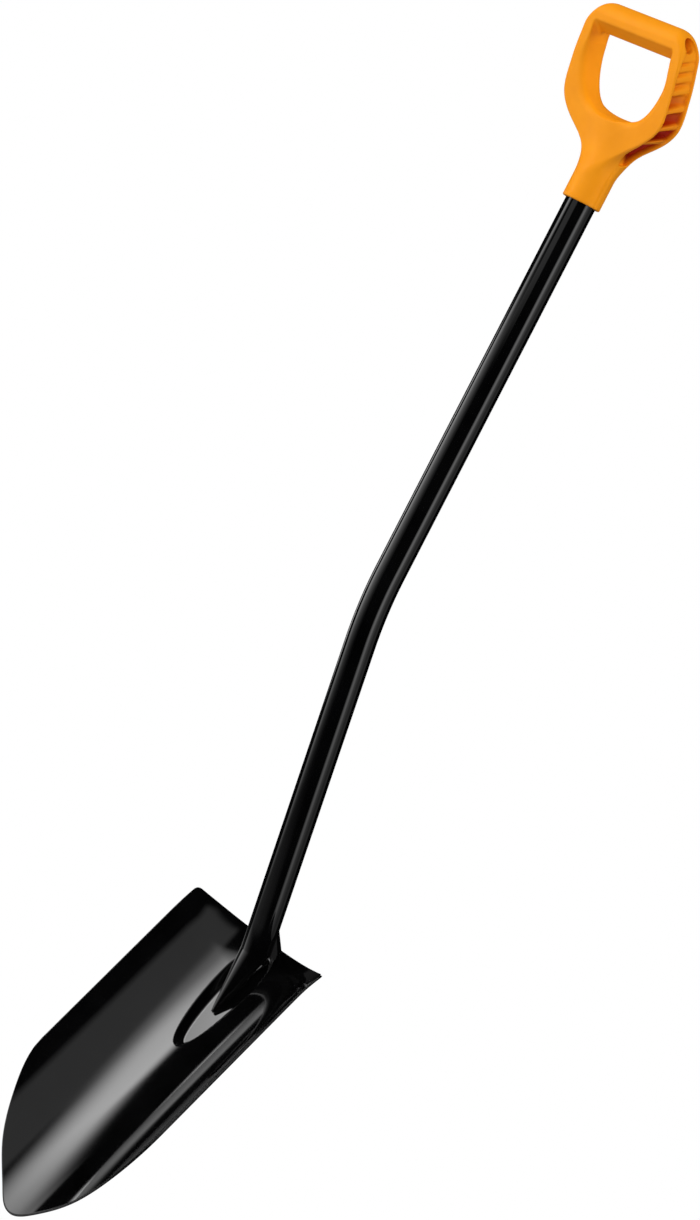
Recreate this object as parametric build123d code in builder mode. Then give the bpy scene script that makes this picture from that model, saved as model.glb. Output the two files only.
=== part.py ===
from build123d import *
from math import cos, radians, sin, sqrt, tan
import os

os.makedirs("parts", exist_ok=True)

# Spade with a bent steel tube, a pressed trough blade and a moulded D-handle.
# Millimetres. Z runs up the upper shaft, the front (hollow side) faces -Y and X = 0 is the mirror plane.
# The origin is the hanging point, in the middle of the underside of the grip.

# Shaft tube
tube_diameter = 28.0
tube_wall = 1.6
upper_length = 394.0
lower_length = 325.0
shaft_bend = 12.2
bend_radius = 320.0

# Blade
blade_length = 336.0
blade_width = 183.0
trough_depth = 33.0
sheet = 2.0
blade_lift = 38.4
seat_gap = 6.5
point_length = 132.0
point_shoulder = (0.86, 0.38)
point_flank = (0.62, 0.67)
point_nose = (0.27, 0.90)
top_droop = 8.0
corner_radius = 4.0
flare_length = 40.0
flare_angle = 4.5

# Pressed recess that seats the end of the tube
recess_length = 120.0
recess_width = 40.0
recess_depth = 6.5
recess_shoulder = 38.0
recess_floor = 0.62
recess_top = 7.0

# Formed tip of the tube and the welds that hold it
tip_reach = 82.0
tip_radius = 2.0
tip_drop = 6.5
bead = 2.2
bead_reach = 30.0
rear_weld_height = 17.0
rear_weld_wrap = 75.0

# D-handle
handle_tilt = 15.4
socket_length = 55.0
socket_diameter = 35.6
socket_straight = 47.0
seam_width = 3.0
seam_height = 0.8
tube_insert = 46.0
neck_spread = 74.0
neck_height = 8.0
neck_point = 18.0
grip_under = 86.8
grip_height = 29.5
grip_crown = 3.0
grip_bevel = 11.7
bevel_run = 11.0
handle_width = 128.0
handle_depth = 25.0
opening_width = 100.0
opening_bottom = 25.0
opening_floor = 52.0
floor_rise = 4.3
opening_belly = 95.0
belly_rise = 31.0
opening_front_edge = 5.0
opening_back_edge = 2.5
rim_chamfer = 1.4
channel_wall = 2.8
channel_depth = 7.5
channel_top = 100.0
channel_bottom = 2.0
rib_pitch = 12.5
rib_thickness = 4.0
rib_recess = 1.6
rib_slope = 26.0
grip_bore = 12.4
bore_height = 97.0

# Screw that pins the handle to the tube
screw_height = 24.0
screw_head = 9.0
screw_shank = 4.8
screw_head_height = 2.4
screw_edge = 0.7
screw_bite = 4.8
slot_length = 4.6
slot_width = 1.1
slot_depth = 1.4
screw_clearance = 0.1

# Directions in the mirror plane
tilt = radians(handle_tilt)
bend = radians(shaft_bend)
lean = radians(blade_lift - shaft_bend)
handle_up = Vector(0, -sin(tilt), cos(tilt))
handle_back = Vector(0, cos(tilt), sin(tilt))
lower_up = Vector(0, -sin(bend), cos(bend))
lower_back = Vector(0, cos(bend), sin(bend))
blade_up = Vector(0, sin(lean), cos(lean))
blade_back = Vector(0, cos(lean), -sin(lean))
across = Vector(1, 0, 0)

# Stations along the tool
tube_radius = tube_diameter / 2
pivot = handle_up * -grip_under
rim_point = pivot - Vector(0, 0, socket_length)
bend_point = rim_point - Vector(0, 0, upper_length)
seat_point = bend_point - lower_up * lower_length
blade_top = seat_point + lower_back * (tube_radius + seat_gap)
tube_top = rim_point + Vector(0, 0, tube_insert)

# Working planes: a section plane looks up the piece, a front plane looks at the viewer
blade_section = Plane(origin=blade_top, x_dir=across, z_dir=blade_up)
blade_front = Plane(origin=blade_top, x_dir=across, z_dir=blade_back * -1)
handle_front = Plane(origin=pivot, x_dir=across, z_dir=handle_back * -1)
handle_side = Plane(origin=pivot, x_dir=handle_back, z_dir=across)
handle_section = Plane(origin=pivot, x_dir=across, z_dir=handle_up)

# Sizes that follow from those above
trough_radius = (blade_width ** 2 / 4 + trough_depth ** 2) / (2 * trough_depth)
half_width = blade_width / 2
side_end = blade_length - point_length
flare_up = blade_up * cos(radians(flare_angle)) + blade_back * sin(radians(flare_angle))
reach = blade_width

# Blade sheet: a trough that leans back a little along the top edge


def point_at(share, side):
    """Place on the point's outline, from its shares of the half width and of the point's length."""
    return side * half_width * share[0], -side_end - point_length * share[1]


with BuildPart() as sheet_body:
    with BuildSketch(blade_section.offset(-flare_length)) as trough_section:
        with Locations((0, -trough_radius)):
            Circle(trough_radius + sheet)
            Circle(trough_radius, mode=Mode.SUBTRACT)
        with Locations((0, sheet)):
            Rectangle(blade_width + 2 * sheet, 2 * (trough_depth + 3 * sheet), mode=Mode.INTERSECT)
    extrude(amount=-blade_length)
    extrude(trough_section.sketch, amount=2 * flare_length, dir=flare_up)
    with BuildSketch(blade_front) as blade_outline:
        with BuildLine():
            ThreePointArc((-half_width, -top_droop), (0, 0), (half_width, -top_droop))
            Line((half_width, -top_droop), (half_width, -side_end))
            Spline(
                (half_width, -side_end),
                point_at(point_shoulder, 1),
                point_at(point_flank, 1),
                point_at(point_nose, 1),
                (0, -blade_length),
                tangents=((0, -1), (-1, 0)),
            )
            Spline(
                (0, -blade_length),
                point_at(point_nose, -1),
                point_at(point_flank, -1),
                point_at(point_shoulder, -1),
                (-half_width, -side_end),
                tangents=((-1, 0), (0, 1)),
            )
            Line((-half_width, -side_end), (-half_width, -top_droop))
        make_face()
        fillet(blade_outline.vertices().sort_by(Axis.Y)[-2:], radius=corner_radius)
    extrude(amount=reach, both=True, mode=Mode.INTERSECT)

# Space behind the front face of the sheet, used to trim what is seated on it
with BuildPart() as behind:
    with BuildSketch(blade_section.offset(-flare_length)) as behind_section:
        with Locations((0, -trough_radius)):
            Circle(trough_radius + recess_length)
            Circle(trough_radius, mode=Mode.SUBTRACT)
        with Locations((0, recess_length / 2)):
            Rectangle(blade_width, recess_length + 2 * trough_depth, mode=Mode.INTERSECT)
    extrude(amount=-blade_length)
    extrude(behind_section.sketch, amount=2 * flare_length, dir=flare_up)

# Recess: its hollow, and the outside of the sheet pressed round it
recess_middle = (0, -recess_top - recess_shoulder)
recess_reach = recess_length - recess_shoulder
recess_run = recess_width / 2 * (1 - recess_floor)
recess_lip = trough_depth / 8
recess_slope = recess_run / recess_depth


def recess_outline(depth, margin):
    """Egg-shaped outline of the recess, depth behind the bottom of the trough, wider all round by margin."""
    side = recess_width / 2 + margin
    with BuildSketch(blade_front.offset(-depth)) as outline:
        with BuildLine():
            EllipticalCenterArc(recess_middle, side, recess_shoulder + margin, arc_size=180)
            EllipticalCenterArc(recess_middle, side, recess_reach + margin, start_angle=180, arc_size=180)
        make_face()
    return outline.sketch


with BuildPart() as recess_hollow:
    loft(
        (recess_outline(-recess_lip, recess_lip * recess_slope), recess_outline(recess_depth, -recess_run)),
        ruled=True,
    )

wall_run = sheet * sqrt(1 + recess_slope ** 2) - sheet * recess_slope
with BuildPart() as recess_skin:
    loft(
        (
            recess_outline(-recess_lip, wall_run + (recess_lip + sheet) * recess_slope),
            recess_outline(recess_depth + sheet, wall_run - recess_run),
        ),
        ruled=True,
    )

# Blade
with BuildPart() as blade:
    add(recess_skin.part)
    add(behind.part, mode=Mode.INTERSECT)
    add(sheet_body.part)
    add(recess_hollow.part, mode=Mode.SUBTRACT)
blade.part.label = "blade"
export_step(blade.part, "parts/blade.step")

# Solid that the tube and the welds may not enter: everything behind the front face except the recess
with BuildPart() as seat_block:
    add(behind.part)
    add(recess_hollow.part, mode=Mode.SUBTRACT)

# Centre line of the tube
bend_tangent = bend_radius * tan(bend / 2)
bend_start = bend_point + Vector(0, 0, bend_tangent)
bend_end = bend_point - lower_up * bend_tangent
tube_end = seat_point - lower_up * tip_drop
bend_axis = Axis(bend_start + Vector(0, bend_radius, 0), across)
top_section = Plane(origin=tube_top, x_dir=across, z_dir=(0, 0, -1))
bend_section = Plane(origin=bend_start, x_dir=across, z_dir=(0, 0, -1))
lower_section = Plane(origin=bend_end, x_dir=across, z_dir=lower_up * -1)


def bent_rod(radius):
    """Round rod along the centre line of the tube: straight, bent, straight."""
    with BuildPart() as rod:
        with BuildSketch(top_section):
            Circle(radius)
        extrude(amount=(tube_top - bend_start).length)
        with BuildSketch(bend_section):
            Circle(radius)
        revolve(axis=bend_axis, revolution_arc=shaft_bend)
        with BuildSketch(lower_section):
            Circle(radius)
        extrude(amount=(bend_end - tube_end).length)
    return rod.part


# Formed tip: a cone that leans forward into the recess, with a round knuckle where it leaves the tube
tip_point = blade_top - blade_up * tip_reach + blade_back * (recess_depth - tip_radius)
tip_length = (tip_point - tube_end).length
knuckle = Plane(origin=tube_end, x_dir=across, z_dir=tip_point - tube_end)
cone_seat = (Align.CENTER, Align.CENTER, Align.MIN)
with BuildPart() as formed_tip:
    with Locations(knuckle):
        Sphere(tube_radius)
        Cone(tube_radius, tip_radius, tip_length, align=cone_seat)

# Screw, pointing forward into the back of the socket
socket_face = socket_diameter / 2
screw_point = rim_point + Vector(0, socket_face, screw_height)
screw_plane = Plane(origin=screw_point, x_dir=across, z_dir=(0, 1, 0))
screw_length = socket_face - tube_radius + screw_bite
with BuildPart() as handle_screw:
    with BuildSketch(screw_plane.offset(-screw_head_height)):
        Circle(screw_head / 2)
    extrude(amount=screw_head_height)
    with BuildSketch(screw_plane.offset(-screw_head_height)):
        Circle(screw_shank / 2)
    extrude(amount=-screw_length)
    with BuildSketch(screw_plane):
        Rectangle(slot_length, slot_width)
        Rectangle(slot_width, slot_length)
    extrude(amount=-slot_depth, mode=Mode.SUBTRACT)
    head_edge = handle_screw.edges().filter_by(GeomType.CIRCLE).sort_by(Axis.Y)[-1]
    chamfer(head_edge, length=screw_edge)
handle_screw.part.label = "handle_screw"
export_step(handle_screw.part, "parts/handle_screw.step")

with BuildPart() as screw_space:
    with BuildSketch(screw_plane.offset(-screw_head_height)):
        Circle(screw_head / 2 + screw_clearance)
    extrude(amount=screw_head)
    with BuildSketch(screw_plane):
        Circle(screw_shank / 2 + screw_clearance)
    extrude(amount=-socket_face)

# Shaft tube
with BuildPart() as shaft_tube:
    add(bent_rod(tube_radius))
    add(formed_tip.part)
    add(seat_block.part, mode=Mode.SUBTRACT)
    add(bent_rod(tube_radius - tube_wall), mode=Mode.SUBTRACT)
    add(screw_space.part, mode=Mode.SUBTRACT)
shaft_tube.part.label = "shaft_tube"
export_step(shaft_tube.part, "parts/shaft_tube.step")

# Front weld: a bead in the recess, round the point of the formed tip
bead_length = tip_length + 2 * bead
bead_start = Plane(origin=tip_point, z_dir=tube_end - tip_point).offset(bead_reach)
with BuildPart() as front_weld:
    with Locations(knuckle):
        Cone(tube_radius + bead, tip_radius + bead, bead_length, align=cone_seat)
    add(recess_hollow.part, mode=Mode.INTERSECT)
    add(recess_hollow.part.moved(Location(blade_back * -bead)), mode=Mode.SUBTRACT)
    add(formed_tip.part, mode=Mode.SUBTRACT)
    split(bisect_by=bead_start, keep=Keep.BOTTOM)
front_weld.part.label = "front_weld"
export_step(front_weld.part, "parts/front_weld.step")

# Rear weld: a fillet between the back of the tube and the top edge of the blade
rear_reach = seat_gap + sheet / 2
seat_side = Plane(origin=seat_point, x_dir=lower_back, z_dir=across)
with BuildPart() as rear_weld:
    with BuildSketch(seat_side):
        with BuildLine():
            Polyline(
                (tube_radius, rear_weld_height),
                (tube_radius + rear_reach, 0),
                (tube_radius + rear_reach, -tip_drop),
                (tube_radius, -tip_drop),
                close=True,
            )
        make_face()
    revolve(axis=Axis(seat_point, lower_up), revolution_arc=rear_weld_wrap)
    mirror(about=Plane.YZ)
    add(seat_block.part, mode=Mode.SUBTRACT)
rear_weld.part.label = "rear_weld"
export_step(rear_weld.part, "parts/rear_weld.step")

# D-handle: outline of the moulding seen from the front
half_depth = handle_depth / 2
half_handle = handle_width / 2
handle_rear = handle_front.offset(-half_depth)
grip_top = grip_under + grip_height
widest = grip_top * 0.53


def lower_arm(inset):
    """Points up the outer side of an arm, from the neck to the widest place, moved in by inset."""
    return (
        (half_handle * 0.42 - inset, 0),
        (half_handle * 0.675 - inset, grip_top * 0.105),
        (half_handle * 0.95 - inset, grip_top * 0.272),
        (half_handle - inset, widest),
    )


def upper_arm(inset):
    """Points up the outer side of an arm, from the widest place to the end of the grip."""
    return (
        (half_handle - inset, widest),
        (half_handle * 0.965 - inset, grip_top * 0.74),
        (half_handle * 0.885 - inset, grip_top * 0.895),
        (half_handle * 0.71 - inset, grip_top * 0.985),
    )


with BuildSketch(handle_rear) as handle_outline:
    with BuildLine():
        Line((0, -neck_point), lower_arm(0)[0])
        Spline(*lower_arm(0), tangents=((1, 1), (0, 1)))
        Spline(*upper_arm(0), (0, grip_top + grip_crown), tangents=((0, 1), (-1, 0)))
        mirror(about=Plane.YZ)
    make_face()

# Hand opening: a bowed floor, round corners and slightly spreading sides
belly_point = Vector(opening_belly / 2, opening_bottom + belly_rise)
floor_point = Vector(opening_floor / 2, opening_bottom + floor_rise)
with BuildSketch(handle_rear.offset(-handle_depth)) as hand_opening:
    with BuildLine():
        bowed_floor = ThreePointArc((-floor_point.X, floor_point.Y), (0, opening_bottom), floor_point)
        round_corner = TangentArc(floor_point, belly_point, tangent=bowed_floor % 1)
        side = Line(belly_point, (opening_width / 2, grip_under))
        mirror([round_corner, side], about=Plane.YZ)
        Line((-opening_width / 2, grip_under), (opening_width / 2, grip_under))
    make_face()

# Side view of the arms and grip, rounded over the top of the grip
grip_spring = grip_top - half_depth
with BuildSketch(handle_side.offset(-handle_width)) as side_view:
    with BuildLine():
        Polyline(
            (-half_depth, grip_spring),
            (-half_depth, -socket_length),
            (half_depth, -socket_length),
            (half_depth, grip_spring),
        )
        ThreePointArc((half_depth, grip_spring), (0, grip_top), (-half_depth, grip_spring))
    make_face()

# Flat bevels along the underside of the grip, front and back
with BuildSketch(handle_side.offset(-opening_width / 2)) as grip_bevels:
    with BuildLine():
        Polyline(
            (-half_depth, grip_under + grip_bevel),
            (-half_depth + bevel_run, grip_under),
            (-half_depth, grip_under),
            close=True,
        )
    make_face()
    mirror(about=Plane.YZ)

# Open channels along the outer side of both arms, with slanted ribs
channel_half = half_depth - channel_wall
channel_plane = handle_front.offset(-channel_half)
channel_height = channel_top - channel_bottom
channel_middle = (channel_top + channel_bottom) / 2
rib_count = int(channel_height / rib_pitch)


def outside_arms(inset):
    """Region outside both arms, starting at a depth of inset, between the ends of the channel."""
    with BuildSketch(channel_plane) as region:
        with BuildLine():
            Spline(*lower_arm(inset), tangents=((1, 1), (0, 1)))
            Spline(*upper_arm(inset), tangents=((0, 1), (-1, 0.2)))
            Polyline(
                upper_arm(inset)[-1],
                (handle_width, upper_arm(inset)[-1][1]),
                (handle_width, 0),
                lower_arm(inset)[0],
            )
        make_face()
        mirror(about=Plane.YZ)
        with Locations((0, channel_middle)):
            Rectangle(3 * handle_width, channel_height, mode=Mode.INTERSECT)
    return region.sketch


with BuildPart() as channels:
    extrude(outside_arms(channel_depth), amount=2 * channel_half)
    with BuildSketch(handle_side.offset(-handle_width)):
        with Locations((0, channel_middle)):
            with GridLocations(0, rib_pitch, 1, rib_count):
                Rectangle(2 * handle_depth, rib_thickness, rotation=rib_slope)
    extrude(amount=2 * handle_width, mode=Mode.SUBTRACT)
    extrude(outside_arms(rib_recess), amount=2 * channel_half)

# D-handle
socket_plane = Plane(origin=rim_point, x_dir=across, z_dir=(0, 0, 1))
with BuildPart() as d_handle:
    extrude(handle_outline.sketch, amount=handle_depth)
    extrude(side_view.sketch, amount=2 * handle_width, mode=Mode.INTERSECT)
    extrude(hand_opening.sketch, amount=3 * handle_depth, mode=Mode.SUBTRACT)
    flats = d_handle.faces().filter_by(GeomType.PLANE).sort_by(Axis(pivot, handle_back))
    front_edges, back_edges = (
        flat.inner_wires()[0].edges().sort_by(Axis(pivot, handle_up))[:-1] for flat in (flats[0], flats[-1])
    )
    arm_wall = upper_arm(0)[1][0] - opening_width / 2
    front_edge = min(opening_front_edge, arm_wall / 2)
    arm_edge = min(rim_chamfer, arm_wall / 8)
    chamfer(front_edges, length=front_edge)
    chamfer(back_edges, length=opening_back_edge)
    sides = d_handle.faces().filter_by(GeomType.EXTRUSION).sort_by(Axis.X)
    side_edges = [edge for side_face in (sides[0], sides[-1]) for edge in side_face.edges()]
    chamfer([edge for edge in side_edges if edge.length > handle_width / 2], length=arm_edge)
    extrude(grip_bevels.sketch, amount=opening_width, mode=Mode.SUBTRACT)
    with BuildSketch(socket_plane):
        Circle(socket_diameter / 2)
        Rectangle(socket_diameter + 2 * seam_height, seam_width)
    extrude(amount=socket_straight)
    with BuildSketch(socket_plane.offset(socket_straight)):
        Circle(socket_diameter / 2)
    with BuildSketch(handle_section.offset(neck_height)):
        Ellipse(neck_spread / 2, half_depth)
    loft(ruled=True)
    add(channels.part, mode=Mode.SUBTRACT)
    with BuildSketch(handle_side.offset(-handle_width)):
        with Locations((0, bore_height)):
            Circle(grip_bore / 2)
    extrude(amount=2 * handle_width, mode=Mode.SUBTRACT)
    with BuildSketch(socket_plane):
        Circle(tube_radius)
    extrude(amount=tube_insert, mode=Mode.SUBTRACT)
    add(screw_space.part, mode=Mode.SUBTRACT)
d_handle.part.label = "d_handle"
export_step(d_handle.part, "parts/d_handle.step")
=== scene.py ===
from math import cos, pi, radians, sin, tan

import bpy
import numpy as np
from mathutils import Matrix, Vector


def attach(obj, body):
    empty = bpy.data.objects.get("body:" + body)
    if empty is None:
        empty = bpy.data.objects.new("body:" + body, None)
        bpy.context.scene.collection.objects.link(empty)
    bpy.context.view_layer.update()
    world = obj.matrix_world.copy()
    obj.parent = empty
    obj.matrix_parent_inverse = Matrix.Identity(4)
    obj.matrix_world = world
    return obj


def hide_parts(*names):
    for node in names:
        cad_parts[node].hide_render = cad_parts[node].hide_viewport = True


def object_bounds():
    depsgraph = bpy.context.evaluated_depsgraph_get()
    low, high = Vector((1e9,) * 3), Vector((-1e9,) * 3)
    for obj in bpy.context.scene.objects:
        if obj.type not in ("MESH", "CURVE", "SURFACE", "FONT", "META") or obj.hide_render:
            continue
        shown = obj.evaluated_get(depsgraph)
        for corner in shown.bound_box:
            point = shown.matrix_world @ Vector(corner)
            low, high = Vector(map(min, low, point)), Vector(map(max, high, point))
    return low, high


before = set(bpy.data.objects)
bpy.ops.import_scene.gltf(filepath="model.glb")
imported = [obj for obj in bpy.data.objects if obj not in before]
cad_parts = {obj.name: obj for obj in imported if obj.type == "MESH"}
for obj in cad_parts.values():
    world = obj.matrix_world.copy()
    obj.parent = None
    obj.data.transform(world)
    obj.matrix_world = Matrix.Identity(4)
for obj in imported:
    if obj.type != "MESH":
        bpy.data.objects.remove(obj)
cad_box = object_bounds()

# Spade: black powder-coated steel blade and tube, orange moulded D-handle.
# Metres, in the frame of the CAD model: Z up the upper shaft, the front faces -Y, X = 0 is the mirror plane.

# Sizes of the shaft
tube_radius = 0.014
upper_length = 0.394
lower_length = 0.325
shaft_bend = radians(12.2)
bend_radius = 0.320
tube_insert = 0.046

# Sizes of the blade
blade_length = 0.336
half_width = 0.0915
trough_depth = 0.033
sheet = 0.002
blade_lift = radians(38.4)
seat_gap = 0.0065
point_length = 0.132
top_droop = 0.008
corner_radius = 0.004
edge_round = 0.0009
ear_start = 0.72
ear_flare = 0.0010
ear_length = 0.030
flare_length = 0.040
flare_angle = radians(9.0)

# Points along the blade's rounded point, as shares of its half width and of the point's length
point_shares = ((0.86, 0.38), (0.62, 0.67), (0.27, 0.90))

# Sizes of the pressed recess and of the formed end of the tube with its weld
recess_length = 0.120
recess_shoulder = 0.038
recess_width = 0.040
recess_depth = 0.0065
recess_run = 0.0050
recess_top = 0.007
rim_blend = 0.0007
floor_blend = 0.0018
tip_reach = 0.082
tip_radius = 0.002
tip_drop = 0.0065
tip_ease = 0.15
weld_radius = 0.0013
weld_start = 0.45
weld_end = 0.98
weld_taper = 0.02
ripple_height = 0.12
ripple_count = 17

# Sizes of the handle
handle_tilt = radians(15.4)
socket_length = 0.055
socket_radius = 0.0178
socket_top = 0.020
seam_width = 0.004
seam_height = 0.0009
neck_half = 0.004
neck_start = -0.022
neck_direction = (1.0, 0.9)
grip_under = 0.0868
grip_height = 0.0295
grip_crown = 0.003
grip_bore = 0.0124
bore_height = 0.1045
half_handle = 0.064
half_depth = 0.0125
half_opening = 0.050
opening_bottom = 0.0238
opening_corner = 0.005
opening_top = 0.0892
grip_bevel = 0.0101
bevel_run = 0.011
bevel_drop = 0.010
screw_height = 0.024
screw_head = 0.009
screw_seat = 0.0024
screw_clearance = 0.0001
voxel = 0.0009

# Points along the handle's outlines, as shares of a half width and of a height
widest_share = 0.53
lower_arm_shares = ((0.435, 0.0), (0.70, 0.105), (0.965, 0.272))
upper_arm_shares = ((0.965, 0.74), (0.895, 0.895), (0.735, 0.985))
opening_shares = ((0.67, 0.145), (0.905, 0.42), (1.0, 0.80))

# Roundings and blends of the handle
rim_round = 0.0018
end_round = 0.0060
opening_round = 0.008
opening_back_round = 0.010
bevel_round = 0.0008
bevel_end_blend = 0.004
socket_round = 0.0012
seam_blend = 0.002
neck_blend = 0.012
neck_squeeze = 0.42
bore_round = 0.0008

# Places on the handle between which its form changes
neck_bend = (-0.030, 0.012)
neck_taper = (-0.020, 0.022)
end_heights = (0.094, 0.108)
end_sides = (0.044, 0.056)
front_edge_heights = (0.060, opening_top)
back_edge_heights = (0.015, 0.080)

# Sizes of the ribbed channels
channel_half = 0.0105
channel_shift = -0.0006
channel_lean = 0.003
channel_arch = 0.070
channel_top = 0.1095
channel_bottom = -0.012
channel_depth = 0.0056
channel_deepening = 0.0064
deep_heights = (0.030, 0.075)
narrowing_height = 0.012
narrowing_slope = 0.33
narrowing_scale = 0.95
narrowing_round = 0.002
bottom_round = 0.003
cell_round = 0.0010
lip_round = 0.0005
bore_wall = 0.0035
rib_heights = (0.0970, 0.0940, 0.0860, 0.0770, 0.0660, 0.0498, 0.0334, 0.0170)
rib_half = 0.0012
rib_flank = 0.0044
rib_recess = 0.0020
rib_slope = 0.28
scoop = 0.45
scoop_places = (-0.004, 0.010)

# Painted shade deep in the cells, away from the grip, the opening and the faces
shade_depth = 0.0065
shade_least = 0.35
shade_margin = 0.001
shade_heights = (0.100, 0.106)
grip_shade_heights = (0.078, 0.084)
grip_shade_sides = (0.051, 0.053)
opening_shade_gap = (0.003, 0.005)


def up_at(angle):
    """Direction up along a piece that leans forward by angle."""
    return np.array((0.0, -sin(angle), cos(angle)))


def back_at(angle):
    """Direction out of the back of a piece that leans forward by angle."""
    return np.array((0.0, cos(angle), sin(angle)))


# Directions and stations along the tool
across = np.array((1.0, 0.0, 0.0))
shaft_up = up_at(0.0)
shaft_back = back_at(0.0)
handle_up = up_at(handle_tilt)
handle_back = back_at(handle_tilt)
lower_up = up_at(shaft_bend)
lower_back = back_at(shaft_bend)
blade_up = up_at(shaft_bend - blade_lift)
blade_back = back_at(shaft_bend - blade_lift)
pivot = -handle_up * grip_under
rim_point = pivot - shaft_up * socket_length
bend_point = rim_point - shaft_up * upper_length
seat_point = bend_point - lower_up * lower_length
tube_end = seat_point - lower_up * tip_drop
blade_top = seat_point + lower_back * (tube_radius + seat_gap)
tip_point = blade_top - blade_up * tip_reach + blade_back * (recess_depth - tip_radius)


# Shape helpers

def spline(points, start, end, samples=40):
    """Smooth curve through points, with given directions at both ends, as an array of samples."""
    points = np.array(points, float)
    spans = np.linalg.norm(np.diff(points, axis=0), axis=1)
    knots = np.concatenate(([0.0], np.cumsum(spans)))
    count = len(points)
    system = np.eye(count)
    slopes = np.zeros_like(points)
    slopes[0] = np.array(start, float) / np.linalg.norm(start)
    slopes[-1] = np.array(end, float) / np.linalg.norm(end)
    for i in range(1, count - 1):
        before, after = spans[i - 1], spans[i]
        system[i, i - 1:i + 2] = (after, 2 * (before + after), before)
        slope_before = (points[i] - points[i - 1]) / before
        slope_after = (points[i + 1] - points[i]) / after
        slopes[i] = 3 * (after * slope_before + before * slope_after)
    slopes = np.linalg.solve(system, slopes)
    along = np.linspace(0.0, knots[-1], samples)
    piece = np.clip(np.searchsorted(knots, along, side="right") - 1, 0, count - 2)
    span = spans[piece][:, None]
    t = (along - knots[piece])[:, None] / span
    return (
        points[piece] * (1 + 2 * t) * (1 - t) ** 2
        + points[piece + 1] * t ** 2 * (3 - 2 * t)
        + slopes[piece] * span * t * (1 - t) ** 2
        + slopes[piece + 1] * span * t ** 2 * (t - 1)
    )


def outline_points(half, start, height, shares):
    """Points of an outline, from shares of its half width and of a height above start."""
    return [(half * beside, start + height * along) for beside, along in shares]


def unit(vectors):
    """Vectors of length 1."""
    return vectors / np.linalg.norm(vectors, axis=-1, keepdims=True)


def smooth_max(a, b, blend):
    """Larger of two values, with their crease spread softly over blend."""
    share = np.clip(0.5 + 0.5 * (a - b) / blend, 0.0, 1.0)
    return b + (a - b) * share + blend * share * (1.0 - share)


def smooth_min(a, b, blend):
    """Smaller of two values, with their crease spread softly over blend."""
    return -smooth_max(-a, -b, blend)


def round_max(a, b, radius):
    """What two distances have in common, with the edge rounded to radius."""
    corner = np.hypot(np.maximum(a + radius, 0.0), np.maximum(b + radius, 0.0))
    return np.minimum(np.maximum(a, b), -radius) + corner


def ease(value, low, high):
    """Smooth step from 0 at low to 1 at high."""
    t = np.clip((value - low) / (high - low), 0.0, 1.0)
    return t * t * (3.0 - 2.0 * t)


def fade(value, low, high):
    """Smooth step from 1 at low to 0 at high."""
    return 1.0 - ease(value, low, high)


def through(value, pairs):
    """Level at value, along straight lines through pairs of place and level."""
    places, levels = zip(*pairs)
    return np.interp(value, places, levels)


def grid_faces(rows, columns, start=0, closed=False):
    """Quads of a grid of points, stored row by row from index start."""
    last = columns if closed else columns - 1
    row, column = np.meshgrid(np.arange(rows - 1), np.arange(last), indexing="ij")
    following = (column + 1) % columns
    a = row * columns + column
    b = row * columns + following
    quads = np.stack((a, b, b + columns, a + columns), axis=-1).reshape(-1, 4)
    return quads + start


def capped_rings(rings, first_tip, last_tip):
    """Points and faces of a tube through rings of points, closed by a tip at both ends."""
    count, sides = len(rings), len(rings[0])
    points = np.concatenate(rings + [[first_tip], [last_tip]])
    faces = grid_faces(count, sides, closed=True).tolist()
    last_ring = (count - 1) * sides
    for i in range(sides):
        following = (i + 1) % sides
        faces.append([count * sides, following, i])
        faces.append([count * sides + 1, last_ring + i, last_ring + following])
    return points, faces


def placing(side, over, away, place):
    """Matrix that puts an object at place, with its axes along three directions."""
    return Matrix([*zip(side, over, away, place), (0.0, 0.0, 0.0, 1.0)])


def add_piece(name, points, faces, material, slot, *nodes):
    """New smooth piece of the object that stands for CAD nodes."""
    mesh = bpy.data.meshes.new(name)
    mesh.from_pydata(points.tolist(), [], [list(map(int, face)) for face in faces])
    mesh.update()
    mesh.shade_smooth()
    mesh.materials.append(material)
    piece = bpy.data.objects.new(name, mesh)
    bpy.context.scene.collection.objects.link(piece)
    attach(piece, "root")
    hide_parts(*nodes)
    return piece


# Materials

noise_low = 0.3
noise_high = 0.7


def new_material(name):
    """Empty node material, with its nodes, a linker and its main shader."""
    material = bpy.data.materials.new(name)
    material.use_nodes = True
    nodes = material.node_tree.nodes
    return material, nodes, material.node_tree.links.new, nodes["Principled BSDF"]


def object_noise(nodes, link, scale, detail):
    """Noise that is fixed to the object, scale cells to the metre."""
    place = nodes.new("ShaderNodeTexCoord")
    noise = nodes.new("ShaderNodeTexNoise")
    noise.inputs["Scale"].default_value = scale
    noise.inputs["Detail"].default_value = detail
    link(place.outputs["Object"], noise.inputs["Vector"])
    return noise.outputs["Fac"]


def map_range(nodes, link, source, low, high):
    """Spreads a noise from low to high."""
    spread = nodes.new("ShaderNodeMapRange")
    spread.inputs["From Min"].default_value = noise_low
    spread.inputs["From Max"].default_value = noise_high
    spread.inputs["To Min"].default_value = low
    spread.inputs["To Max"].default_value = high
    link(source, spread.inputs["Value"])
    return spread.outputs["Result"]


def add_bump(nodes, link, source, strength, distance):
    """Bump from a height."""
    bump = nodes.new("ShaderNodeBump")
    bump.inputs["Strength"].default_value = strength
    bump.inputs["Distance"].default_value = distance
    link(source, bump.inputs["Height"])
    return bump.outputs["Normal"]


def colour_ramp(nodes, link, source, dark, light):
    """Colour between dark and light, by a noise."""
    ramp = nodes.new("ShaderNodeValToRGB")
    ramp.color_ramp.elements[0].position = noise_low
    ramp.color_ramp.elements[1].position = noise_high
    ramp.color_ramp.elements[0].color = (*dark, 1.0)
    ramp.color_ramp.elements[1].color = (*light, 1.0)
    link(source, ramp.inputs["Fac"])
    return ramp.outputs["Color"]


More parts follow.
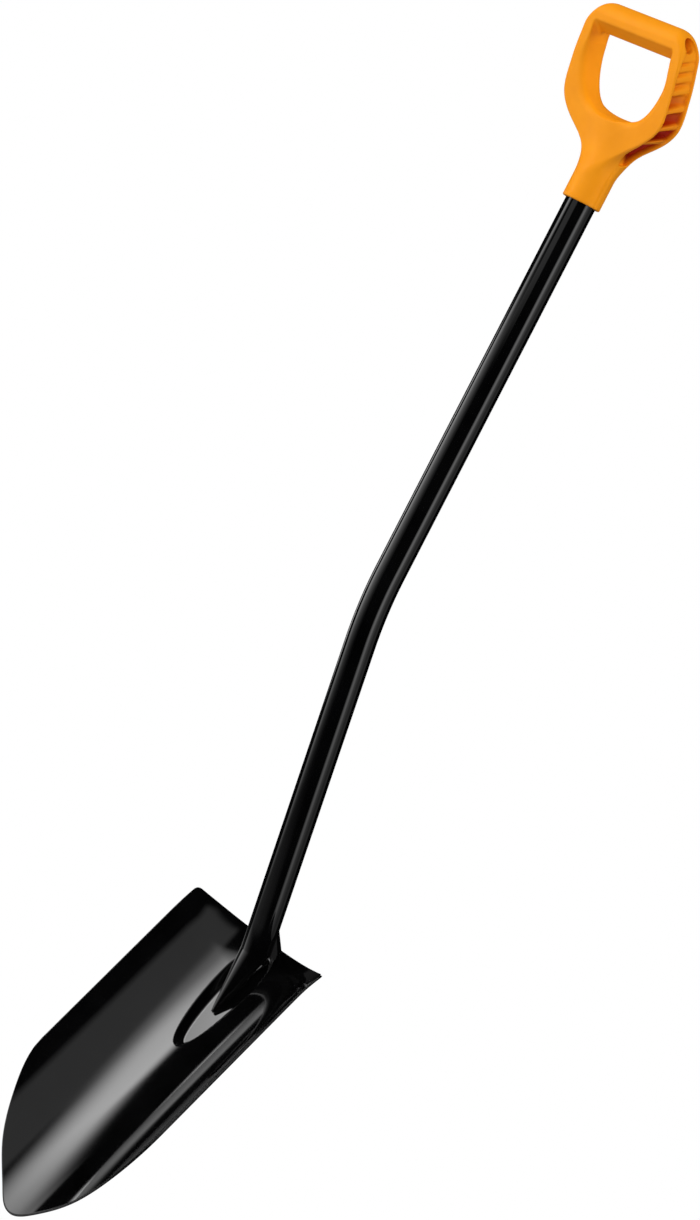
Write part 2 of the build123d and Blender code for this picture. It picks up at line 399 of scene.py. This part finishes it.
def black_paint():
    """Glossy black powder coat with a fine grain in its gloss and slight waves of the sheet below."""
    material, nodes, link, shader = new_material("black_powder_coat")
    patches = object_noise(nodes, link, scale=30.0, detail=3.0)
    grain = object_noise(nodes, link, scale=600.0, detail=2.0)
    waves = object_noise(nodes, link, scale=16.0, detail=1.0)
    black = colour_ramp(nodes, link, patches, dark=(0.0010, 0.0010, 0.0011), light=(0.0024, 0.0024, 0.0026))
    link(black, shader.inputs["Base Color"])
    link(map_range(nodes, link, grain, low=0.05, high=0.08), shader.inputs["Roughness"])
    link(add_bump(nodes, link, waves, strength=0.06, distance=0.0006), shader.inputs["Normal"])
    shader.inputs["IOR"].default_value = 1.5
    return material


def orange_plastic():
    """Satin moulded plastic with a fine eroded texture; deep in the cells of the channels its colour is
    painted a dark red as painted shade.
    """
    material, nodes, link, shader = new_material("orange_moulded_plastic")
    tone = object_noise(nodes, link, scale=45.0, detail=4.0)
    grain = object_noise(nodes, link, scale=1800.0, detail=3.0)
    # Painted shade: where the attribute marks deep cells, the base colour is mixed towards dark red
    depth = nodes.new("ShaderNodeAttribute")
    depth.attribute_name = "painted_shade"
    orange = colour_ramp(nodes, link, tone, dark=(0.91, 0.305, 0.005), light=(0.96, 0.335, 0.007))
    painted_shade_mix = nodes.new("ShaderNodeMixRGB")
    painted_shade_mix.inputs["Color2"].default_value = (0.46, 0.016, 0.002, 1.0)
    link(depth.outputs["Fac"], painted_shade_mix.inputs["Fac"])
    link(orange, painted_shade_mix.inputs["Color1"])
    link(painted_shade_mix.outputs["Color"], shader.inputs["Base Color"])
    link(map_range(nodes, link, grain, low=0.40, high=0.48), shader.inputs["Roughness"])
    link(add_bump(nodes, link, grain, strength=0.2, distance=0.00012), shader.inputs["Normal"])
    shader.inputs["Specular IOR Level"].default_value = 0.18
    shader.inputs["IOR"].default_value = 1.46
    return material


def screw_steel():
    """Zinc plated steel, slightly cloudy."""
    material, nodes, link, shader = new_material("zinc_plated_steel")
    cloud = object_noise(nodes, link, scale=900.0, detail=4.0)
    zinc = colour_ramp(nodes, link, cloud, dark=(0.48, 0.48, 0.50), light=(0.62, 0.62, 0.63))
    link(zinc, shader.inputs["Base Color"])
    link(map_range(nodes, link, cloud, low=0.28, high=0.42), shader.inputs["Roughness"])
    shader.inputs["Metallic"].default_value = 1.0
    return material


paint = black_paint()
plastic = orange_plastic()
steel = screw_steel()


# Blade: one pressed sheet, a trough with a recess for the tube, rolled back a little at the top

trough_radius = (half_width ** 2 + trough_depth ** 2) / (2 * trough_depth)
side_end = blade_length - point_length
flare_radius = flare_length / flare_angle

point_outline = spline(
    [
        (half_width, side_end),
        *outline_points(half_width, side_end, point_length, point_shares),
        (0.0, blade_length),
    ],
    start=(0.0, 1.0),
    end=(-1.0, 0.0),
    samples=400,
)


def blade_start(x):
    """How far below the top edge's middle the sheet starts: a bowed edge with rounded corners."""
    into_corner = np.clip(np.abs(x) - (half_width - corner_radius), 0.0, corner_radius)
    corner = corner_radius - np.sqrt(corner_radius ** 2 - into_corner ** 2)
    return top_droop * (x / half_width) ** 2 + corner


def blade_end(x):
    """How far below the top edge's middle the sheet ends, along the rounded point."""
    return np.interp(-np.abs(x), -point_outline[:, 0], point_outline[:, 1])


def recess_inset(x, s):
    """How far inside the rim of the egg-shaped recess a point lies, found by halving the range."""
    halvings = 40
    least_oval = 1e-6
    from_shoulder = s - recess_top - recess_shoulder
    reach = np.where(from_shoulder > 0.0, recess_length - recess_shoulder, recess_shoulder)
    low = np.full(x.shape, -blade_length)
    high = np.full(x.shape, recess_width / 2 - least_oval)
    for _ in range(halvings):
        middle = (low + high) / 2
        oval = (x / (recess_width / 2 - middle)) ** 2 + (from_shoulder / (reach - middle)) ** 2
        low = np.where(oval < 1.0, middle, low)
        high = np.where(oval < 1.0, high, middle)
    return low


def blade_surface(x, s):
    """Points of the front face, at x across and s down from the top edge."""
    trough = np.sqrt(trough_radius ** 2 - x ** 2) - trough_radius
    pressed = smooth_min(recess_inset(x, s) * recess_depth / recess_run, recess_depth, floor_blend)
    back = smooth_max(trough, pressed, rim_blend)
    turn = np.maximum(flare_length - s, 0.0) / flare_radius
    up = -np.maximum(s, flare_length) + (flare_radius - back) * np.sin(turn)
    back = flare_radius - (flare_radius - back) * np.cos(turn)
    ear = ease(np.abs(x), half_width * ear_start, half_width) * fade(s, 0.0, ear_length) * ear_flare
    x, up, back = (value[..., None] for value in (x + np.sign(x) * ear, up, back + ear))
    return blade_top + x * across + up * blade_up + back * blade_back


def build_blade():
    """Front and back faces of the sheet, joined by a rounded edge."""
    columns, rows, edge_steps = 201, 261, 7
    side_crowding = 0.2
    top_crowding = 1.2
    spread = np.linspace(-1.0, 1.0, columns)
    side = (half_width - edge_round) * ((1.0 + side_crowding) * spread - side_crowding * spread ** 3)
    down = np.linspace(0.0, 1.0, rows) ** top_crowding
    x = np.repeat(side[None, :], rows, axis=0)
    scaled = x * half_width / (half_width - edge_round)
    top = blade_start(scaled) + edge_round
    s = top + (blade_end(scaled) - edge_round - top) * down[:, None]
    front = blade_surface(x, s)
    normal = unit(np.cross(np.gradient(front, axis=1), np.gradient(front, axis=0)))
    normal *= np.sign(np.sum(normal * blade_back, axis=-1, keepdims=True))
    rear = front + normal * sheet
    loop = np.concatenate((
        np.arange(columns),
        np.arange(1, rows) * columns + columns - 1,
        (rows - 1) * columns + np.arange(columns - 2, -1, -1),
        np.arange(rows - 2, 0, -1) * columns,
    ))
    front, rear = front.reshape(-1, 3), rear.reshape(-1, 3)
    middle = (front[loop] + rear[loop]) / 2
    half = (front[loop] - rear[loop]) / 2
    tangent = np.roll(middle, -1, axis=0) - np.roll(middle, 1, axis=0)
    outward = unit(np.cross(tangent, half)) * edge_round
    turns = np.linspace(0.0, pi, edge_steps)[1:-1]
    rings = [middle + half * cos(turn) + outward * sin(turn) for turn in turns]
    count = rows * columns
    points = np.concatenate([front, rear] + rings)
    faces = [grid_faces(rows, columns)[:, ::-1], grid_faces(rows, columns, count)]
    ring_starts = 2 * count + np.arange(len(rings)) * len(loop)
    edge_rows = [loop, *(start + np.arange(len(loop)) for start in ring_starts), loop + count]
    for near, far in zip(edge_rows[:-1], edge_rows[1:]):
        faces.append(np.stack((near, np.roll(near, -1), np.roll(far, -1), far), axis=-1))
    return points, np.concatenate(faces)


blade_points, blade_faces = build_blade()
add_piece("blade_sheet", blade_points, blade_faces, paint, "black_paint", "blade")


# Shaft: round tube with one bend, its lower end pressed to a point in the recess

def build_tube():
    """Rings along the tube, closed at both ends."""
    sides = 96
    insert_rings, upper_rings, bend_rings, lower_rings, tip_rings = 6, 12, 32, 12, 40
    bend_tangent = bend_radius * tan(shaft_bend / 2)
    bend_start = bend_point + shaft_up * bend_tangent
    bend_centre = bend_start + shaft_back * bend_radius
    centres = [rim_point + shaft_up * height for height in np.linspace(tube_insert, 0.0, insert_rings)]
    backs = [shaft_back] * len(centres)
    for share in np.linspace(0.0, 1.0, upper_rings)[1:-1]:
        centres.append(rim_point + (bend_start - rim_point) * share)
        backs.append(shaft_back)
    for turn in np.linspace(0.0, shaft_bend, bend_rings):
        backs.append(back_at(turn))
        centres.append(bend_centre - back_at(turn) * bend_radius)
    bend_finish = centres[-1]
    for share in np.linspace(0.0, 1.0, lower_rings)[1:]:
        centres.append(bend_finish + (tube_end - bend_finish) * share)
        backs.append(lower_back)
    radii = [tube_radius] * len(centres)
    for share in np.linspace(0.0, 1.0, tip_rings)[1:]:
        eased = share + tip_ease * (ease(share, 0.0, 1.0) - share)
        centres.append(tube_end + (tip_point - tube_end) * eased)
        backs.append(lower_back)
        radii.append(tube_radius + (tip_radius - tube_radius) * eased)
    turns = np.linspace(0.0, 2 * pi, sides, endpoint=False)
    ring = np.cos(turns)[:, None] * across
    rings = [
        centre + radius * (ring + np.sin(turns)[:, None] * back)
        for centre, back, radius in zip(centres, backs, radii)
    ]
    return capped_rings(rings, centres[0], centres[-1] - lower_up * tip_radius)


tube_points, tube_faces = build_tube()
add_piece("bent_tube", tube_points, tube_faces, paint, "black_paint", "shaft_tube")


# Front weld: a slim bead where the formed end of the tube meets the floor of the recess

def build_front_weld():
    """Rippled bead down one side of the tube's point, round it and up the other side."""
    sides, steps = 12, 60
    seam = []
    for share in np.linspace(weld_start, weld_end, steps):
        centre = tube_end + (tip_point - tube_end) * share
        radius = tube_radius + (tip_radius - tube_radius) * share
        lift = recess_depth - np.dot(centre - blade_top, blade_back)
        height = min(lift / (radius * np.dot(lower_back, blade_back)), 1.0)
        beside = max(radius * np.sqrt(1.0 - height ** 2), tip_radius)
        seam.append((beside, np.dot(centre + radius * height * lower_back - blade_top, blade_up)))
    below_tip = seam[-1][1] - tip_radius
    path = [(-beside, up) for beside, up in seam]
    path += [(tip_radius * x, below_tip) for x in (-0.5, 0.0, 0.5)]
    path += [(beside, up) for beside, up in reversed(seam)]
    path = np.array(path)
    centres = blade_top + path[:, :1] * across + path[:, 1:] * blade_up + recess_depth * blade_back
    tangents = unit(np.gradient(centres, axis=0))
    beside = unit(np.cross(tangents, blade_back))
    turns = np.linspace(0.0, 2 * pi, sides, endpoint=False)
    along = np.linspace(0.0, 1.0, len(centres))
    ripple = 1.0 + ripple_height * np.sin(2 * pi * ripple_count * along)
    taper = np.sqrt(np.sin(pi * np.clip(along, weld_taper, 1.0 - weld_taper)))
    thickness = weld_radius * ripple * taper
    rings = [
        centre + radius * (np.cos(turns)[:, None] * side - np.sin(turns)[:, None] * blade_back)
        for centre, radius, side in zip(centres, thickness, beside)
    ]
    return capped_rings(rings, centres[0], centres[-1])


weld_points, weld_faces = build_front_weld()
add_piece("front_weld_bead", weld_points, weld_faces, paint, "black_paint", "front_weld")


# D-handle: one moulding, described by the distance to its surface

grip_top = grip_under + grip_height
bevel_slope = bevel_run / grip_bevel
widest = grip_top * widest_share
opening_height = opening_top - opening_bottom
corner_steps = 8

arm_outline = np.concatenate((
    spline(
        [
            (neck_half, neck_start),
            *outline_points(half_handle, 0.0, grip_top, lower_arm_shares),
            (half_handle, widest),
        ],
        start=neck_direction,
        end=(0.0, 1.0),
    ),
    spline(
        [
            (half_handle, widest),
            *outline_points(half_handle, 0.0, grip_top, upper_arm_shares),
            (0.0, grip_top + grip_crown),
        ],
        start=(0.0, 1.0),
        end=(-1.0, 0.0),
    )[1:],
))
opening_outline = np.concatenate((
    spline(
        [
            (0.0, opening_bottom),
            *outline_points(half_opening, opening_bottom, opening_height, opening_shares),
        ],
        start=(1.0, 0.0),
        end=(0.0, 1.0),
    ),
    [(half_opening, opening_top - opening_corner)],
    [
        (half_opening - opening_corner * (1 - cos(turn)), opening_top - opening_corner * (1 - sin(turn)))
        for turn in np.linspace(0.0, pi / 2, corner_steps)[1:]
    ],
    [(0.0, opening_top)],
))


def outline_distance(x, v, half):
    """Distance from points to a mirror-symmetric outline, given by its right half, negative inside."""
    outline = np.concatenate((half, half[-2:0:-1] * (-1.0, 1.0)))
    x, v = np.broadcast_arrays(x, v)
    nearest = np.full(x.shape, np.inf)
    inside = np.zeros(x.shape, bool)
    for (x0, v0), (x1, v1) in zip(outline, np.roll(outline, -1, axis=0)):
        dx, dv = x1 - x0, v1 - v0
        if dx == 0.0 and dv == 0.0:
            continue
        share = np.clip(((x - x0) * dx + (v - v0) * dv) / (dx * dx + dv * dv), 0.0, 1.0)
        nearest = np.minimum(nearest, np.hypot(x - x0 - share * dx, v - v0 - share * dv))
        if dv != 0.0:
            crosses = (v0 > v) != (v1 > v)
            inside ^= crosses & (x < x0 + (v - v0) * dx / dv)
    return np.where(inside, -nearest, nearest)


def handle_distance(x, h, v):
    """Distance to the handle's surface, at x across, h to the back and v up from the pivot."""
    y = h * handle_back[1] + v * handle_up[1]
    z = h * handle_back[2] + v * handle_up[2]

    # Arms and grip: a flat outline, bent into line with the socket below the neck, rounded over the grip
    bent = h + (y - h) * fade(v, *neck_bend)
    grip_spring = grip_top - half_depth
    side_view = np.where(v > grip_spring, np.hypot(bent, v - grip_spring), np.abs(bent)) - half_depth
    outer = outline_distance(x, v, arm_outline)
    at_end = ease(v, *end_heights) * ease(np.abs(x), *end_sides)
    body = round_max(outer, side_view, rim_round + (end_round - rim_round) * at_end)

    # Hand opening with a soft edge, and a flat bevel along the underside of the grip
    opening = outline_distance(x, v, opening_outline)
    front_soft = opening_round + (rim_round - opening_round) * ease(v, *front_edge_heights)
    back_soft = opening_back_round + (rim_round - opening_back_round) * ease(v, *back_edge_heights)
    softness = back_soft + (front_soft - back_soft) * ease(-bent, -half_depth / 2, half_depth / 2)
    body = smooth_max(body, -opening, softness)
    lean = bevel_slope * (v - opening_top - grip_bevel)
    bevel = (half_depth - np.abs(bent) + lean) / np.hypot(1.0, bevel_slope)
    bevel = smooth_max(bevel, np.abs(x) - half_opening, bevel_end_blend)
    bevel = np.maximum(bevel, opening_top - bevel_drop - v)
    body = round_max(body, -bevel, bevel_round)

    # Round socket with a moulding seam on both sides, tapered and blended into the neck
    squeeze = 1.0 + neck_squeeze * ease(v, *neck_taper)
    socket = (np.hypot(x, bent * squeeze) - socket_radius) / squeeze
    seam = np.maximum(np.abs(x) - socket_radius - seam_height, np.abs(bent) - seam_width / 2)
    socket = smooth_min(socket, seam, seam_blend)
    socket = round_max(socket, -socket_length - z, socket_round)
    socket = np.maximum(socket, v - socket_top)
    body = smooth_min(body, socket, neck_blend)

    # Ribbed channels in the outer sides of the arms, arched at the top and narrowed to a point at the bottom
    from_middle = bent - channel_shift - channel_lean * ease(v, channel_arch, channel_top)
    in_arch = np.maximum(v - channel_arch, 0.0) / (channel_top - channel_arch)
    side = channel_half * (np.hypot(from_middle / channel_half, in_arch) - 1.0)
    narrowing = narrowing_scale * (narrowing_slope * (narrowing_height - v) - from_middle - channel_half)
    side = round_max(side, narrowing, narrowing_round)
    side = round_max(side, channel_bottom - v, bottom_round)
    along = v - rib_slope * bent
    from_rib = np.abs(along - rib_heights[0])
    for height in rib_heights[1:]:
        from_rib = np.minimum(from_rib, np.abs(along - height))
    depth = channel_depth + channel_deepening * fade(v, *deep_heights)
    depth = depth * (1.0 - scoop * ease(bent, *scoop_places))
    depth = rib_recess + (depth - rib_recess) * ease(from_rib, rib_half, rib_half + rib_flank)
    cells = round_max(side, -outer - depth, cell_round)
    cells = np.maximum(cells, tube_radius + bore_wall - np.hypot(x, y))
    body = round_max(body, -cells, lip_round)

    # Bores for the grip's core, the tube and the screw
    bore = np.hypot(h, v - bore_height) - grip_bore / 2
    body = round_max(body, -bore, bore_round)
    tube_bore = np.maximum(np.hypot(x, y) - tube_radius, z - tube_insert + socket_length)
    body = np.maximum(body, -tube_bore)
    screw_bore = np.hypot(x, z + socket_length - screw_height) - screw_head / 2 - screw_clearance
    return np.maximum(body, -np.maximum(screw_bore, socket_radius - screw_seat - y))


def painted_cell_shade(x, h, v):
    """Painted shade for a point of the surface, by how deep in the cells of the channels it lies, from 0 to
    1 in the lower cells.
    """
    deep = ease(-outline_distance(x, v, arm_outline), 0.0, shade_depth)
    deep = deep * (shade_least + (1.0 - shade_least) * fade(v, *deep_heights))
    within = ease(half_depth - shade_margin - np.abs(h), 0.0, shade_margin) * fade(v, *shade_heights)
    grip = ease(v, *grip_shade_heights) * fade(np.abs(x), *grip_shade_sides)
    clear = ease(outline_distance(x, v, opening_outline), *opening_shade_gap)
    return deep * within * (1.0 - grip) * clear


def surface_of(distance, low, high):
    """Closed quad mesh of the surface where distance is zero, on a grid of voxels between two corners."""
    axes = [np.arange(start, stop, voxel) for start, stop in zip(low, high)]
    field = distance(axes[0][:, None, None], axes[1][None, :, None], axes[2][None, None, :])
    inside = field < 0.0
    cells = tuple(size - 1 for size in field.shape)
    total = np.zeros(cells + (3,))
    crossings = np.zeros(cells)
    corners = [(i, j, k) for i in (0, 1) for j in (0, 1) for k in (0, 1)]

    def corner_view(values, corner):
        return values[tuple(slice(offset, offset + size) for offset, size in zip(corner, cells))]

    for axis in range(3):
        for corner in corners:
            if corner[axis]:
                continue
            other = tuple(1 if i == axis else offset for i, offset in enumerate(corner))
            near, far = corner_view(field, corner), corner_view(field, other)
            crosses = (near < 0.0) != (far < 0.0)
            share = np.where(crosses, near / np.where(crosses, near - far, 1.0), 0.0)
            for i in range(3):
                total[..., i] += np.where(crosses, share if i == axis else corner[i], 0.0)
            crossings += crosses
    used = crossings > 0
    index = np.full(cells, -1)
    index[used] = np.arange(used.sum())
    cell = np.argwhere(used)
    points = np.array(low) + voxel * (cell + total[used] / crossings[used][:, None])
    faces = []
    for axis in range(3):
        u, w = (axis + 1) % 3, (axis + 2) % 3
        near = tuple(slice(0, -1) if i == axis else slice(1, -1) for i in range(3))
        far = tuple(slice(1, None) if i == axis else slice(1, -1) for i in range(3))
        for leaving in (True, False):
            first = inside[near] if leaving else ~inside[near]
            second = ~inside[far] if leaving else inside[far]
            edges = np.argwhere(first & second) + [0 if i == axis else 1 for i in range(3)]
            around = []
            for du, dw in ((1, 1), (0, 1), (0, 0), (1, 0)):
                place = edges.copy()
                place[:, u] -= du
                place[:, w] -= dw
                around.append(index[tuple(place.T)])
            faces.append(np.stack(around if leaving else around[::-1], axis=-1))
    return points, np.concatenate(faces)


def settle(points, distance, rounds=2):
    """Moves points along the slope of distance onto its zero surface."""
    step = voxel * 0.2
    least_steep = 0.25
    for _ in range(rounds):
        here = distance(*points.T)
        slope = np.stack(
            [(distance(*(points + step * axis).T) - here) / step for axis in np.eye(3)], axis=-1
        )
        steep = np.maximum(np.sum(slope ** 2, axis=-1), least_steep)
        move = np.clip(-here / steep, -voxel / 2, voxel / 2)
        points = points + move[:, None] * slope
    return points


def build_handle():
    """The handle's surface, in the frame of the CAD model."""
    margin = 3 * voxel
    front_reach, back_reach, below_socket = 0.036, 0.024, 0.012
    low = (-half_handle - margin, -front_reach, -socket_length - below_socket)
    high = (half_handle + margin, back_reach, grip_top + grip_crown + margin)
    points, faces = surface_of(handle_distance, low, high)
    points = settle(points, handle_distance)
    # Painted shade of the cells at each point of the surface
    shade = painted_cell_shade(*points.T)
    points = pivot + points[:, :1] * across + points[:, 1:2] * handle_back + points[:, 2:] * handle_up
    return points, faces, shade


handle_points, handle_faces, handle_painted_shade = build_handle()
handle = add_piece("moulded_handle", handle_points, handle_faces, plastic, "orange_plastic", "d_handle")
# Store the painted shade on the handle, where its material reads it
painted_shade_layer = handle.data.attributes.new("painted_shade", "FLOAT", "POINT")
painted_shade_layer.data.foreach_set("value", handle_painted_shade)


# Finishes of the CAD pieces that stay

for name, material in (("rear_weld", paint), ("handle_screw", steel)):
    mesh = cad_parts[name].data
    mesh.materials.clear()
    mesh.materials.append(material)


# Stage: a pale floor below the hanging spade, white surroundings and soft lamps

surroundings_light = 0.24
floor_drop = 0.60
floor_half = 1.3
lamp_distance = 2.5
lamp_aim = (0.0, 0.04, -0.3)


def grey_material(name, grey, roughness):
    """Even grey material."""
    material, _, _, shader = new_material(name)
    shader.inputs["Base Color"].default_value = (grey, grey, grey, 1.0)
    shader.inputs["Roughness"].default_value = roughness
    return material


def stage_panel(name, half, height, material):
    """Level square stage panel, from half the length of its sides and its height."""
    corners = [(-half, -half, height), (half, -half, height), (half, half, height), (-half, half, height)]
    mesh = bpy.data.meshes.new(name)
    mesh.from_pydata(corners, [], [(0, 1, 2, 3)])
    mesh.materials.append(material)
    panel = bpy.data.objects.new(name, mesh)
    bpy.context.scene.collection.objects.link(panel)
    return panel


def background_share(nodes, link):
    """1 for what the eye sees directly or in a reflection, 0 for light that falls on the object."""
    path = nodes.new("ShaderNodeLightPath")
    total = path.outputs["Is Camera Ray"]
    for name in ("Is Glossy Ray", "Is Transmission Ray"):
        larger = nodes.new("ShaderNodeMath")
        larger.operation = "MAXIMUM"
        link(total, larger.inputs[0])
        link(path.outputs[name], larger.inputs[1])
        total = larger.outputs["Value"]
    return total


def build_world():
    """White surroundings, which light the object only softly."""
    world = bpy.data.worlds.new("studio")
    world.use_nodes = True
    bpy.context.scene.world = world
    nodes = world.node_tree.nodes
    link = world.node_tree.links.new
    strength = nodes.new("ShaderNodeMapRange")
    strength.inputs["To Min"].default_value = surroundings_light
    strength.inputs["To Max"].default_value = 1.0
    link(background_share(nodes, link), strength.inputs["Value"])
    nodes["Background"].inputs["Color"].default_value = (1.0, 1.0, 1.0, 1.0)
    link(strength.outputs["Result"], nodes["Background"].inputs["Strength"])


def add_lamp(name, bearing, height, width, length, power):
    """Soft rectangular lamp beside the tool, which reflections don't show."""
    light = bpy.data.lights.new(name, "AREA")
    light.shape = "RECTANGLE"
    light.size = width
    light.size_y = length
    light.energy = power
    lamp = bpy.data.objects.new(name, light)
    bpy.context.scene.collection.objects.link(lamp)
    place = (lamp_distance * cos(bearing), lamp_distance * sin(bearing), height)
    away = unit(np.array(place) - np.array(lamp_aim))
    side = unit(np.cross((0.0, 0.0, 1.0), away))
    lamp.matrix_world = placing(side, np.cross(away, side), away, place)
    lamp.visible_glossy = False


build_world()
pale_floor = grey_material("pale_floor", grey=0.86, roughness=0.8)
floor = stage_panel("floor", floor_half, cad_box[0][2] - floor_drop, pale_floor)
floor.visible_glossy = False
add_lamp("key_softbox", bearing=radians(-133.5), height=1.1, width=1.68, length=2.2, power=54.0)
add_lamp("front_fill", bearing=radians(-56.0), height=0.2, width=1.6, length=1.6, power=29.0)
add_lamp("side_fill", bearing=radians(25.0), height=1.6, width=1.6, length=1.6, power=44.0)


# Dark studio wall with softboxes, seen only in reflections

wall_radius = 3.0
wall_bearings = (-168.0, 192.0)
wall_heights = (-4.0, 5.0)
wall_columns = 361
wall_rows = 181
even_glow = 1.7
second_reflection = 2.0
third_reflection = 3.0
ceiling_half = 4.0

# Softbox: edges as bearings in degrees, leaning with the height, and its brightness by height
far_edge_bearings = ((-0.1, -150.5), (0.12, -145.0), (0.40, -139.5), (0.60, -140.5), (0.90, -145.5))
far_edge_blur = 5.0
near_edge_bearing = -115.0
near_edge_height = 0.79
near_edge_lean = 18.5
near_edge_blur = 10.0
softbox_levels = ((-0.1, 2.6), (0.2, 4.6), (0.5, 8.0), (0.9, 7.6), (1.0, 6.6), (1.2, 3.4), (1.6, 0.0))

# Other lights on the wall: levels by bearing, and how they lean, fall off or end with the height
flat_levels = ((-110.0, 0.0), (-105.0, 0.57), (-73.0, 0.57), (-67.0, 0.0))
flat_top = (2.2, 2.6)
spill_levels = (
    (-156.0, 0.0), (-153.0, 3.2), (-148.0, 3.5), (-130.0, 1.6), (-113.0, 0.85), (-98.0, 0.26), (-84.0, 0.0)
)
spill_top = (-0.3, -0.05)
side_levels = ((-8.0, 0.0), (2.0, 2.4), (8.0, 2.6), (20.0, 0.9), (38.0, 0.3), (60.0, 0.3), (64.0, 0.0))
side_top = (0.3, 0.6)
lower_levels = ((-2.3, 0.1), (-0.95, 1.0))
back_levels = (
    (150.0, 0.0), (165.0, 0.05), (175.0, 0.05), (177.5, 1.2), (180.0, 3.0), (185.0, 3.0), (186.5, 0.0)
)
back_lean = ((-1.0, -9.0), (-0.7, -2.5), (-0.4, 0.0), (-0.2, 0.5))
back_bottom = (-1.3, -1.2)
back_top = (-0.3, -0.15)
below_level = 0.16
below_top = (-2.6, -2.2)


def wall_glow(bearing, height):
    """Brightness of the wall: a leaning softbox, a grey flat, low spill, two strips and a faint foot."""
    far_edge = through(height, far_edge_bearings)
    near_edge = near_edge_lean * (height - near_edge_height) + near_edge_bearing
    softbox = ease(bearing, far_edge - far_edge_blur, far_edge + far_edge_blur)
    softbox = softbox * fade(bearing, near_edge - near_edge_blur, near_edge + near_edge_blur)
    softbox = softbox * through(height, softbox_levels)
    flat = through(bearing, flat_levels) * fade(height, *flat_top)
    lower = through(height, lower_levels)
    spill = through(bearing, spill_levels) * lower
    front = spill + (softbox + flat - spill) * ease(height, *spill_top)
    side = through(bearing, side_levels) * lower * fade(height, *side_top)
    leaning = bearing - through(height, back_lean)
    back = through(leaning, back_levels) * ease(height, *back_bottom) * fade(height, *back_top)
    below = below_level * fade(height, *below_top)
    return front + side + back + below


def build_wall():
    """Round wall whose points carry their own brightness, and which is even in a third reflection."""
    bearings = np.linspace(*wall_bearings, wall_columns)
    heights = np.linspace(*wall_heights, wall_rows)
    height, bearing = np.meshgrid(heights, bearings, indexing="ij")
    turn = np.radians(bearing)
    points = np.stack((wall_radius * np.cos(turn), wall_radius * np.sin(turn), height), axis=-1)
    mesh = bpy.data.meshes.new("studio_wall")
    faces = grid_faces(wall_rows, wall_columns)
    mesh.from_pydata(points.reshape(-1, 3).tolist(), [], faces.tolist())
    glow = mesh.attributes.new("glow", "FLOAT", "POINT")
    glow.data.foreach_set("value", wall_glow(bearing, height).ravel())
    material, nodes, link, shader = new_material("studio_wall")
    attribute = nodes.new("ShaderNodeAttribute")
    attribute.attribute_name = "glow"
    path = nodes.new("ShaderNodeLightPath")
    seen = nodes.new("ShaderNodeMapRange")
    seen.inputs["From Min"].default_value = second_reflection
    seen.inputs["From Max"].default_value = third_reflection
    seen.inputs["To Max"].default_value = even_glow
    link(path.outputs["Ray Depth"], seen.inputs["Value"])
    link(attribute.outputs["Fac"], seen.inputs["To Min"])
    link(seen.outputs["Result"], shader.inputs["Emission Strength"])
    shader.inputs["Emission Color"].default_value = (1.0, 1.0, 1.0, 1.0)
    shader.inputs["Base Color"].default_value = (0.0, 0.0, 0.0, 1.0)
    shader.inputs["Specular IOR Level"].default_value = 0.0
    mesh.materials.append(material)
    wall = bpy.data.objects.new("studio_wall", mesh)
    bpy.context.scene.collection.objects.link(wall)
    return wall


dark_grey = grey_material("dark_ceiling", grey=0.02, roughness=1.0)
wall = build_wall()
ceiling = stage_panel("dark_ceiling", ceiling_half, wall_heights[1], dark_grey)
for screen in (wall, ceiling):
    for ray in ("camera", "diffuse", "transmission", "volume_scatter", "shadow"):
        setattr(screen, "visible_" + ray, False)


# Camera: at the angle of the photograph, which is 700 by 1220 pixels

camera_place = (2.2249, -2.3256, -0.3172)
camera_right = (0.62017, 0.63778, 0.45675)
camera_up = (-0.37383, -0.27161, 0.88684)
camera_away = (0.68967, -0.72074, 0.06998)
camera_data = bpy.data.cameras.new("photo_camera")
camera_data.sensor_fit = "AUTO"
camera_data.sensor_width = 36.0
camera_data.lens = 109.58
camera = bpy.data.objects.new("photo_camera", camera_data)
bpy.context.scene.collection.objects.link(camera)
camera.matrix_world = placing(camera_right, camera_up, camera_away, camera_place)
bpy.context.scene.camera = camera
bpy.context.scene.view_settings.view_transform = "Standard"
